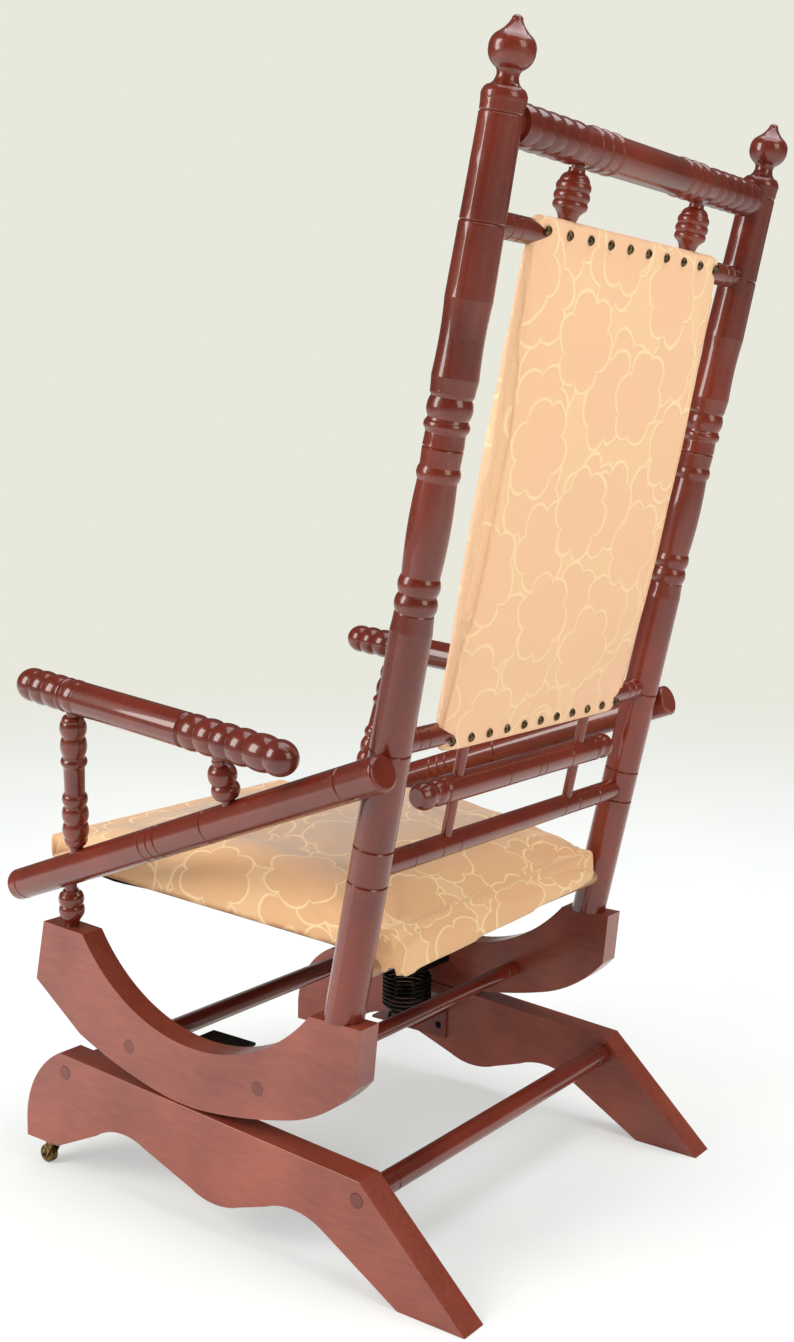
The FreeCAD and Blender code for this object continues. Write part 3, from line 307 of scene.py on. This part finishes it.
# %% [markdown]
# The cover is a jacquard furnishing cloth: a plain ground with scalloped clouds woven into
# it, each cloud edged by a paler raised line. It is drawn from the cloth's own coordinates,
# a UV map in metres, so the pattern runs over the edges as woven cloth does. A Voronoi
# texture hands out one centre per cloud, and the angle round that centre gives the lobes: the
# absolute value of a sine is round outwards and sharp inwards, which is just the shape of a
# scallop. Its root makes the lobes fuller. Three such layers lie over each other like scales,
# and every layer hides the lines of the ones below it.

# %% Jacquard cloth
cloud_pitch = 0.112
lobe_count = 6
thread_pitch = 0.0024
layers = [((0.31, 0.17, 0), 0.0, 0.4), ((0.83, 0.71, 0), 0.3, 1.3), ((0.05, 0.62, 0), -0.4, 2.2)]


def cloud_layer(tree, cloth_place, shift, turn, phase):
    """Signed distance to the edge of scalloped clouds, in shares of the cloud pitch."""
    moved = add_node(tree, "ShaderNodeMapping", {
        "Vector": cloth_place, "Location": shift, "Rotation": (0, 0, turn),
        "Scale": (1 / cloud_pitch, 1 / cloud_pitch, 0)}).outputs[0]
    bend = noise(tree, moved, 2.1, 1.0).outputs["Color"]
    drawn = vector_maths(tree, "ADD", moved, vector_maths(tree, "MULTIPLY", bend, (0.15, 0.15, 0)))
    centres = add_node(tree, "ShaderNodeTexVoronoi", {"Vector": drawn, "Scale": 1.0, "Randomness": 0.2},
                       voronoi_dimensions="2D").outputs["Position"]
    arm = vector_maths(tree, "SUBTRACT", drawn, centres)
    parts = add_node(tree, "ShaderNodeSeparateXYZ", {0: arm}).outputs
    angle = maths(tree, "ARCTAN2", parts["Y"], parts["X"])
    wave = maths(tree, "SINE", maths(tree, "MULTIPLY_ADD", angle, lobe_count / 2, phase))
    lobes = maths(tree, "POWER", maths(tree, "ABSOLUTE", wave), 0.6)
    reach = maths(tree, "MULTIPLY_ADD", lobes, 0.1, 0.31)
    return maths(tree, "SUBTRACT", length(tree, arm), reach)


def threads(tree, place, pitch):
    """Waves of the crossing threads: plain weave and twill, each from -1 to 1."""
    fine = vector_maths(tree, "MULTIPLY", place, (2 * math.pi / pitch,) * 3)
    across = add_node(tree, "ShaderNodeSeparateXYZ", {0: fine}).outputs
    plain = maths(tree, "MULTIPLY", maths(tree, "SINE", across["X"]), maths(tree, "SINE", across["Y"]))
    twill = maths(tree, "SINE", maths(tree, "ADD", across["X"], across["Y"]))
    return plain, twill


def jacquard(name, cloud_code, ground_code, line_code, greyed_code, greying_depth, hem_code):
    """Cloth with scalloped clouds, drawn towards a greyer colour by a given share where its point map
    says so.
    """
    finish, tree = new_finish(name)
    own = add_node(tree, "ShaderNodeUVMap", uv_map="cloth").outputs[0]
    line, cloud = 0.0, 0.0
    for shift, turn, phase in layers:
        edge = cloud_layer(tree, own, shift, turn, phase)
        drawn = ranged(tree, maths(tree, "ABSOLUTE", edge), (0.006, 0.022), (1.0, 0.0), "SMOOTHSTEP")
        inside = ranged(tree, edge, (-0.01, 0.01), (1.0, 0.0), "SMOOTHSTEP")
        kept = maths(tree, "MULTIPLY", maths(tree, "SUBTRACT", 1.0, inside), line)
        line = maths(tree, "MAXIMUM", kept, drawn)
        cloud = maths(tree, "MAXIMUM", cloud, inside)
    plain, twill = threads(tree, own, thread_pitch)
    weave = add_node(tree, "ShaderNodeMix", {0: cloud, 2: twill, 3: plain}).outputs[0]
    ground = mixed(tree, cloud, linear(ground_code), linear(cloud_code))
    # This map greys the cloth. On the seat it stands for painted sky light on the top together with wear.
    # On the back it is only a darkening towards the bottom.
    worn = add_node(tree, "ShaderNodeAttribute", attribute_name="worn").outputs["Fac"]
    patch = add_node(tree, "ShaderNodeTexNoise", {
        "Vector": own, "Scale": 16.0, "Detail": 4.0, "Roughness": 0.6}).outputs["Fac"]
    greying_patches = ranged(tree, patch, (0.3, 0.7), (0.55 * greying_depth, greying_depth))
    aged = mixed(tree, maths(tree, "MULTIPLY", greying_patches, worn), ground, linear(greyed_code))
    bright = maths(tree, "MULTIPLY", line, ranged(tree, worn, (0.0, 1.0), (0.75, 0.4)))
    drawn = mixed(tree, bright, aged, linear(line_code))
    hem = add_node(tree, "ShaderNodeAttribute", attribute_name="hem").outputs["Fac"]
    edged = mixed(tree, hem, drawn, linear(hem_code))
    # The thread waves also scale the colour: painted shade between the threads.
    depth = ranged(tree, weave, (-1.0, 1.0), (0.93, 1.04))
    shaded = add_node(tree, "ShaderNodeVectorMath", {0: edged, "Scale": depth},
                      operation="SCALE").outputs[0]
    high = maths(tree, "MULTIPLY_ADD", weave, 0.16, line)
    cloth = add_node(tree, "ShaderNodeBsdfPrincipled", {
        "Base Color": shaded, "Roughness": 0.82, "Normal": bumped(tree, high, 0.5, 0.0012),
        "Sheen Weight": 0.15, "Sheen Roughness": 0.5})
    show_surface(tree, cloth)
    return finish


back_cloth = jacquard("peach jacquard of the back", "#f0c09a", "#f2c69b", "#fbdfb2",
                      "#d9b08e", 0.45, "#b98a62")
# The seat's greyer colour is painted sky light on its top together with wear.
seat_cloth = jacquard("sand jacquard of the seat", "#d8a87c", "#deb286", "#f2d3a2",
                      "#b09a8a", 0.95, "#8a4a22")
print("cloud pitch", cloud_pitch * 1000, "mm, thread drawn at", thread_pitch * 1000, "mm")

# %% [markdown]
# Under the cushion lie three jute straps, and a black lining cloth closes the frame from below.
# Both are plain weaves, drawn as a small checker of raised threads, lighter on the threads and darker
# between them as painted shade.

# %% Plain cloths
def plain_cloth(name, dark, light, pitch):
    """Plain weave of one colour, lighter on the raised threads and darker between them as painted shade.
    """
    finish, tree = new_finish(name)
    plain = threads(tree, object_place(tree), pitch)[0]
    lift = ranged(tree, plain, (-1.0, 1.0), (0.0, 1.0))
    cloth = add_node(tree, "ShaderNodeBsdfPrincipled", {
        "Base Color": mixed(tree, lift, linear(dark), linear(light)), "Roughness": 0.9,
        "Normal": bumped(tree, lift, 0.6, 0.0008)})
    show_surface(tree, cloth)
    return finish


jute = plain_cloth("jute webbing", "#8b6c45", "#b7966a", 0.003)
lining = plain_cloth("black lining cloth", "#0e0d0e", "#221f20", 0.002)
print("plain cloths", jute.name, "/", lining.name)

# %% [markdown]
# Each node takes the finish that its slot in the record names. The lower spring brackets are
# an exception, because they were painted over together with the base.

# %% Give every CAD node its finish
by_slot = {"stained_wood": turning_paint_darkened_as_shade, "plain_wood": plain_wood, "nail_brass": nail_brass,
           "iron": black_iron, "caster_brass": caster_brass, "webbing": jute}
slot_of = {part["node"]: part["material_slot"] for part in frame["record"]["subparts"]}
for name, node in nodes.items():
    node.data.materials.clear()
    node.data.materials.append(by_slot.get(slot_of[name], plain_wood))
for side in ("left", "right"):
    nodes["spring_bracket_lower_" + side].data.materials[0] = turning_paint_darkened_as_shade
print("finished nodes", len(nodes))

# %% [markdown]
# Four pieces are sawn from board: the two rockers and the two long rails of the base. A saw
# leaves hard corners, and years of use round them off. So each board is a merged copy of its
# CAD mesh, its flat faces are joined again, and every edge sharper than thirty degrees gets a
# small bevel, which also gives the varnish an edge to catch the light on.

# %% Boards with worn edges
boards = []
for name in ("base_rail_left", "base_rail_right", "rocker_left", "rocker_right"):
    board = bmesh.new()
    board.from_mesh(nodes[name].data)
    bmesh.ops.remove_doubles(board, verts=board.verts, dist=1e-5)
    bmesh.ops.dissolve_limit(board, angle_limit=math.radians(0.5), verts=board.verts, edges=board.edges)
    sharp = [e for e in board.edges if len(e.link_faces) == 2 and e.calc_face_angle() > math.radians(30)]
    bmesh.ops.bevel(board, geom=sharp, offset=0.0018, offset_type="OFFSET", affect="EDGES", segments=2,
                    profile=0.5, material=-1, clamp_overlap=True)
    for face in board.faces:
        face.smooth = True
    mesh = bpy.data.meshes.new(name + "_board")
    board.to_mesh(mesh)
    board.free()
    mesh.set_sharp_from_angle(angle=math.radians(32))
    piece = bpy.data.objects.new(name + "_board", mesh)
    bpy.context.scene.collection.objects.link(piece)
    piece.data.materials.append(board_paint_lightened_as_sheen)
    piece.modifiers.new("even shading", "WEIGHTED_NORMAL").keep_sharp = True
    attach(piece, "base" if name.startswith("base") else "chair")
    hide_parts(name)
    boards.append(piece)
print("boards", [len(piece.data.polygons) for piece in boards])

# %% [markdown]
# Stuffed pieces get their form from cloth simulation. A simple body is remeshed to an even
# skin, held where it is nailed down, and blown up with a little pressure for twenty frames,
# so the skin finds its own creases and soft corners. How far a point may move is capped,
# and one subdivision smooths what is left.

# %% Inflate a stuffed body
def inflate(piece, voxel, held, pressure, cap):
    """Swell a closed body. held(point) says which points stay."""
    skin = piece.modifiers.new("skin", "REMESH")
    skin.mode = "VOXEL"
    skin.voxel_size = voxel
    bpy.context.view_layer.update()
    even = bpy.data.meshes.new_from_object(piece.evaluated_get(bpy.context.evaluated_depsgraph_get()))
    piece.modifiers.clear()
    piece.data = even
    rest = np.array([v.co for v in even.vertices])
    group = piece.vertex_groups.new(name="held")
    group.add([i for i, point in enumerate(rest) if held(point)], 1.0, "REPLACE")
    cloth = piece.modifiers.new("cloth", "CLOTH")
    cloth.settings.quality = 5
    cloth.settings.mass = 0.25
    cloth.settings.tension_stiffness = 12
    cloth.settings.compression_stiffness = 12
    cloth.settings.bending_stiffness = 0.4
    cloth.settings.use_pressure = True
    cloth.settings.uniform_pressure_force = pressure
    cloth.settings.vertex_group_mass = "held"
    cloth.settings.effector_weights.gravity = 0
    cloth.point_cache.frame_start = 1
    cloth.point_cache.frame_end = 20
    for number in range(1, 21):
        bpy.context.scene.frame_set(number)
    swollen = piece.evaluated_get(bpy.context.evaluated_depsgraph_get())
    moved = np.array([v.co for v in swollen.data.vertices]) - rest
    piece.modifiers.remove(cloth)
    bpy.context.scene.frame_set(1)
    reach = np.linalg.norm(moved, axis=1, keepdims=True)
    moved *= np.minimum(1, cap / np.maximum(reach, 1e-9))
    even.vertices.foreach_set("co", (rest + moved).ravel())
    even.update()
    print(piece.name, len(rest), "points, most moved", round(float(reach.max()) * 1000, 1), "mm")


def finish_soft(piece, cloth_map, placing, wear, hem):
    """Cloth coordinates in metres, greying and hem maps, smooth faces and the place in the chair."""
    for name, shown in (("worn", wear), ("hem", hem)):
        layer = piece.data.attributes.new(name, "FLOAT", "POINT")
        layer.data.foreach_set("value", [shown(point) for point in piece.data.vertices])
    layer = piece.data.uv_layers.new(name="cloth")
    for loop in piece.data.loops:
        layer.data[loop.index].uv = cloth_map(piece.data.vertices[loop.vertex_index])
    piece.data.polygons.foreach_set("use_smooth", [True] * len(piece.data.polygons))
    piece.data.transform(placing)
    round_off = piece.modifiers.new("round off", "SUBSURF")
    round_off.levels = round_off.render_levels = 1


def soft_piece(name, shell, finish):
    """Object from a bmesh, with its finish."""
    mesh = bpy.data.meshes.new(name)
    shell.to_mesh(mesh)
    shell.free()
    piece = bpy.data.objects.new(name, mesh)
    bpy.context.scene.collection.objects.link(piece)
    piece.data.materials.append(finish)
    return piece


# %% [markdown]
# The seat is a stuffed pad on a frame: thin at the front lip, fullest in the middle, and
# rolled over at the rear like a bolster. It starts as a cube cut into a grid, whose lines are
# crowded towards the edges by a sine so that the rolled sides get enough points. One profile
# gives its height along the depth, another falls away to both sides. Years of sitting have
# pressed two long hollows into it and left a roll along each side, and a few pits show where
# the stuffing is tied down. The lower rim stays straight, where the cloth is tacked, and the
# underside is pushed up into the frame.

# %% Seat cushion
seat_pitch = math.radians(-2.5)
seat_front = Vector((0, -0.3119, 0.32045))
seat_half, seat_depth = 0.196, 0.472
seat_place = Matrix.Translation(seat_front) @ Matrix.Rotation(seat_pitch, 4, "X")
corner_size, bell_width = 0.036, math.sqrt(0.0006)
pits = [(0.08, 0.20), (-0.08, 0.20), (0.0, 0.28), (0.085, 0.34), (-0.085, 0.34)]

# Height of the top along the depth, and its share from the middle to the side.
profile = ((0, 0.007), (0.012, 0.015), (0.03, 0.025), (0.046, 0.031), (0.08, 0.043), (0.12, 0.052),
           (0.17, 0.060), (0.225, 0.065), (0.28, 0.0655), (0.331, 0.062), (0.38, 0.0565),
           (0.421, 0.047), (0.448, 0.034), (0.462, 0.022), (0.472, 0.010))
shoulder = ((0, 1.0), (0.076, 0.985), (0.12, 0.96), (0.152, 0.905), (0.168, 0.84), (0.178, 0.76),
            (0.185, 0.66), (0.189, 0.56), (0.192, 0.42))
shoulder_half = 0.192


def read_off(table, value):
    """Value of a table of pairs at a place."""
    places, heights = zip(*table)
    return float(np.interp(value, places, heights))


def clamp(value):
    """Value kept between 0 and 1."""
    return max(0.0, min(1.0, value))


def dent(far, width):
    """Bell curve: 1 at the middle, a third of that at width."""
    return math.exp(-(far / width) ** 2)


def seat_height(across, deep):
    """Top of the cushion before it swells."""
    return read_off(profile, deep) * read_off(shoulder, abs(across) * shoulder_half / seat_half)


def seat_rim(across, deep):
    """Height of the lower rim: level, but the cloth hangs lower at the rear, most at the left."""
    rear = clamp((deep - 0.405) / 0.05)
    return -0.003 - 0.019 * rear * rear * (3 - 2 * rear) * (0.5 + 0.5 * across / seat_half)


def past(value, half):
    """How far a value is into the last stretch before half, as a share of corner_size."""
    return clamp((abs(value) - half + corner_size) / corner_size)


shell = bmesh.new()
bmesh.ops.create_cube(shell, size=1.0)
bmesh.ops.subdivide_edges(shell, edges=shell.edges, cuts=27, use_grid_fill=True)
for point in shell.verts:
    across = seat_half * math.sin(math.pi * point.co.x)
    deep = seat_depth * (0.5 + 0.5 * math.sin(math.pi * point.co.y))
    share = point.co.z + 0.5
    top, rim = seat_height(across, deep), seat_rim(across, deep)
    across *= 1 + 0.008 * math.sin(math.pi * share)
    middle = seat_depth / 2
    u, v = past(across, seat_half), past(deep - middle, middle)
    across -= math.copysign(corner_size * u * (1 - math.sqrt(1 - v * v / 2)), across)
    deep -= math.copysign(corner_size * v * (1 - math.sqrt(1 - u * u / 2)), deep - middle)
    point.co = (across, deep, rim + share * (top - rim))
cushion = soft_piece("seat_cushion_cover", shell, seat_cloth)
inflate(cushion, 0.005, lambda p: p[2] < 0.006, 1.6, 0.009)

for point in cushion.data.vertices:
    x, y, z = point.co
    if z > 0.012:
        hollow = 0.009 * dent(abs(x) - 0.118, 0.022) * clamp((0.40 - y) / 0.1) * min(1, y / 0.12)
        tied = sum(0.007 * dent(math.hypot(x - a, y - b), bell_width) for a, b in pits)
        ripple = 0.0012 * math.sin(95 * y + 30 * x) * dent(abs(x) - 0.15, 0.03)
        point.co.z -= (hollow + tied + ripple) * min(1, z / 0.04)
    if y > 0.40 and z > 0.004:
        gather = 0.0022 * math.sin(abs(x) * 420) * dent(seat_half - abs(x), 0.035)
        point.co.y += gather * min(1, (y - 0.40) / 0.05) * min(1, z / 0.02)
    inside = abs(x) < seat_half - 0.0035 and 0.006 < y < seat_depth - 0.008
    if inside and z < seat_rim(x, y) + 0.004:
        point.co.z = 0.0255


def seat_map(point):
    """Cloth coordinates: the plan, plus the drop down the sides."""
    x, y, z = point.co
    drop = max(0.0, seat_height(min(abs(x), 0.152), min(max(y, 0.1), 0.36)) - z)
    nx, ny = abs(point.normal.x), abs(point.normal.y)
    lean = nx + ny + 1e-6
    return (x + math.copysign(drop * nx / lean, x) + 0.4,
            y + math.copysign(drop * ny / lean, y - seat_depth / 2) + 0.3)


def seat_sky_light_and_wear(point):
    """Where the top inside the side rolls is greyed: painted sky light falling on the top, and rubbing
    from sitting.
    """
    x, y, z = point.co
    return clamp((0.178 - abs(x)) / 0.045) * clamp((0.425 - y) / 0.07) * min(1.0, y / 0.05)


def seat_hem(point):
    """The frayed lower rim, where canvas shows under the cover."""
    x, y, z = point.co
    frayed = 0.0045 + 0.0015 * math.sin(83 * (x + y)) + 0.001 * math.sin(211 * (x - y))
    return clamp(1.2 - z / frayed) * clamp((0.44 - y) / 0.03)


finish_soft(cushion, seat_map, seat_place, seat_sky_light_and_wear, seat_hem)
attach(cushion, "chair")
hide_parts("seat_cushion")
print("cushion faces", len(cushion.data.polygons))

# %% [markdown]
# A black lining is tacked under the frame. It is stretched tight except near the front of its
# side edges, where the tacks have gone and it sags a few millimetres.

# %% Lining under the seat
lining_size = (0.372, 0.392)
weave = bmesh.new()
bmesh.ops.create_grid(weave, x_segments=24, y_segments=24, size=0.5)
for point in weave.verts:
    x, y = point.co.x * lining_size[0], 0.057 + (point.co.y + 0.5) * lining_size[1]
    loose = max(0.0, 1 - abs(y - 0.11) / 0.07) * max(0.0, abs(point.co.x) * 2 - 0.7) / 0.3
    point.co = (x, y, -0.0012 - 0.0045 * loose)
under = soft_piece("seat_lining", weave, lining)
under.data.transform(seat_place)
thick = under.modifiers.new("cloth thickness", "SOLIDIFY")
thick.thickness = 0.0004
thick.offset = -1
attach(under, "chair")
print("lining", lining_size)

# %% [markdown]
# The back is a thin stuffed panel. Its rear is one flat cloth nailed over two round rails,
# and its front is the padded side, so it is built in its own leaning frame: the rear stays
# flat, the front swells, and the sides round over into a sewn seam.

# %% Back pad
rake = math.atan2(0.174, 0.8333)
pad_foot = Vector((0, 0.1769, 0.4927))
pad_high, pad_rear = 0.4601, 0.0122
pad_place = Matrix.Translation(pad_foot) @ Matrix.Rotation(-rake, 4, "X")


def pad_half(high):
    """Half width of the back at a height: notched at the rails, wider at the head."""
    notch = np.interp(high, (0, 0.020, pad_high - 0.022, pad_high - 0.016), (0.157, 0.167, 0.174, 0.171))
    return float(notch)


shell = bmesh.new()
bmesh.ops.create_cube(shell, size=1.0)
bmesh.ops.subdivide_edges(shell, edges=shell.edges, cuts=25, use_grid_fill=True)
for point in shell.verts:
    side, deep, high = point.co.x * 2, 0.5 - point.co.y, (point.co.z + 0.5) * (pad_high + 0.007) - 0.003
    half = pad_half(high) * (1 - 0.05 * deep ** 2)
    edge = max(abs(side) ** 5, abs(2 * high / pad_high - 1) ** 8)
    thick = 0.030 * (1 - 0.45 * edge)
    point.co = (side * half, pad_rear - 0.0006 - 0.004 * abs(side) ** 14 - deep * thick, high)
pad = soft_piece("back_pad_cover", shell, back_cloth)
inflate(pad, 0.005, lambda p: p[1] > 0.004 and (p[2] < 0.018 or p[2] > pad_high - 0.018), 1.6, 0.006)


def pad_map(point):
    """Cloth coordinates: the face, plus the turn round the sides."""
    x, y, z = point.co
    turn = (pad_rear - y) * (1 if abs(point.normal.x) > 0.5 else 0)
    front = 0.7 if point.normal.y < -0.3 else 0.0
    return (x + math.copysign(turn, x) + 0.3 + front, z + 0.2)


def pad_lower_darkening(point):
    """A faint greying, stronger towards the bottom of the back."""
    return max(0.0, 1 - point.co.z / 0.3)


# %% [markdown]
# The two sides of the back are sewn to the rear cloth, and the seam stands up as a thin ridge.
# It is a narrow six-sided tube along the corner of the stuffed body: at each height the point
# that lies farthest out and farthest back is found, the row is evened out, and a ring of points
# is set round each place.

# %% Sewn seams down both sides
for side in (-1, 1):
    spots = []
    for high in np.linspace(0.020, pad_high - 0.034, 90):
        near = [p.co for p in pad.data.vertices if abs(p.co.z - high) < 0.004 and p.co.x * side > 0.1]
        corner = max(near, key=lambda c: c.x * side + 1.6 * c.y)
        spots.append((corner.x, corner.y, high))
    row = np.array(spots)
    for _ in range(6):
        row[1:-1] = (row[:-2] + 2 * row[1:-1] + row[2:]) / 4
    strip = bmesh.new()
    rings = []
    for number, (x, y, z) in enumerate(row):
        stitch = 0.0013 + 0.0003 * (number % 2)
        turns = [math.pi * k / 3 for k in range(6)]
        spots = [(x + stitch * math.cos(a), y + stitch * math.sin(a), z) for a in turns]
        rings.append([strip.verts.new(spot) for spot in spots])
    for low, high in zip(rings, rings[1:]):
        for k in range(6):
            strip.faces.new((low[k], low[(k + 1) % 6], high[(k + 1) % 6], high[k]))
    strip.faces.new(rings[0][::-1])
    strip.faces.new(rings[-1])
    seam = bpy.data.meshes.new("seam")
    strip.to_mesh(seam)
    strip.free()
    joined = bmesh.new()
    joined.from_mesh(pad.data)
    joined.from_mesh(seam)
    joined.to_mesh(pad.data)
    joined.free()
print("seam points per side", len(row))

# %% Finish the back pad
finish_soft(pad, pad_map, pad_place, pad_lower_darkening, lambda point: 0.0)
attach(pad, "chair")
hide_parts("back_pad")
print("back faces", len(pad.data.polygons))
